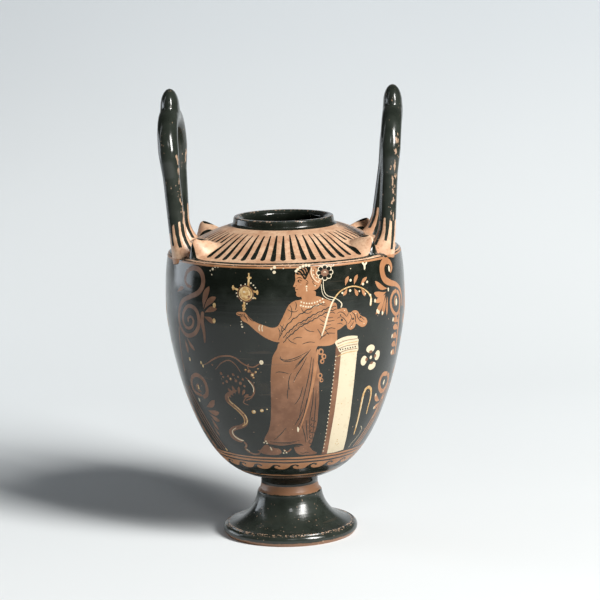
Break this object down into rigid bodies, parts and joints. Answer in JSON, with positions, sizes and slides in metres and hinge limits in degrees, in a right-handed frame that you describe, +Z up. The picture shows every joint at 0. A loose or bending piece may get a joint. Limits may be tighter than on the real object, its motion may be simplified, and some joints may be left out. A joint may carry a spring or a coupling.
{
  "type": "lebes gamikos",
  "caption": "Footed clay bowl with a deep hollow belly, sloping spurred shoulder, low collared mouth and two upright crested loop handles.",
  "frame": {"origin": "centre of the bounding box's base, on the axis of turning, at the plane that the foot's ring stands on", "axes": "+Z up along the axis of turning, the handles stand at +X and -X, and the painted front with the draped figure faces -Y"},
  "size_m": [0.1716, 0.1696, 0.32],
  "materials": {
    "painted_clay": "black gloss over reserved orange clay, worn"
  },
  "bodies": {
    "root": {"lebes_gamikos": "painted_clay"}
  },
  "joints": []
}
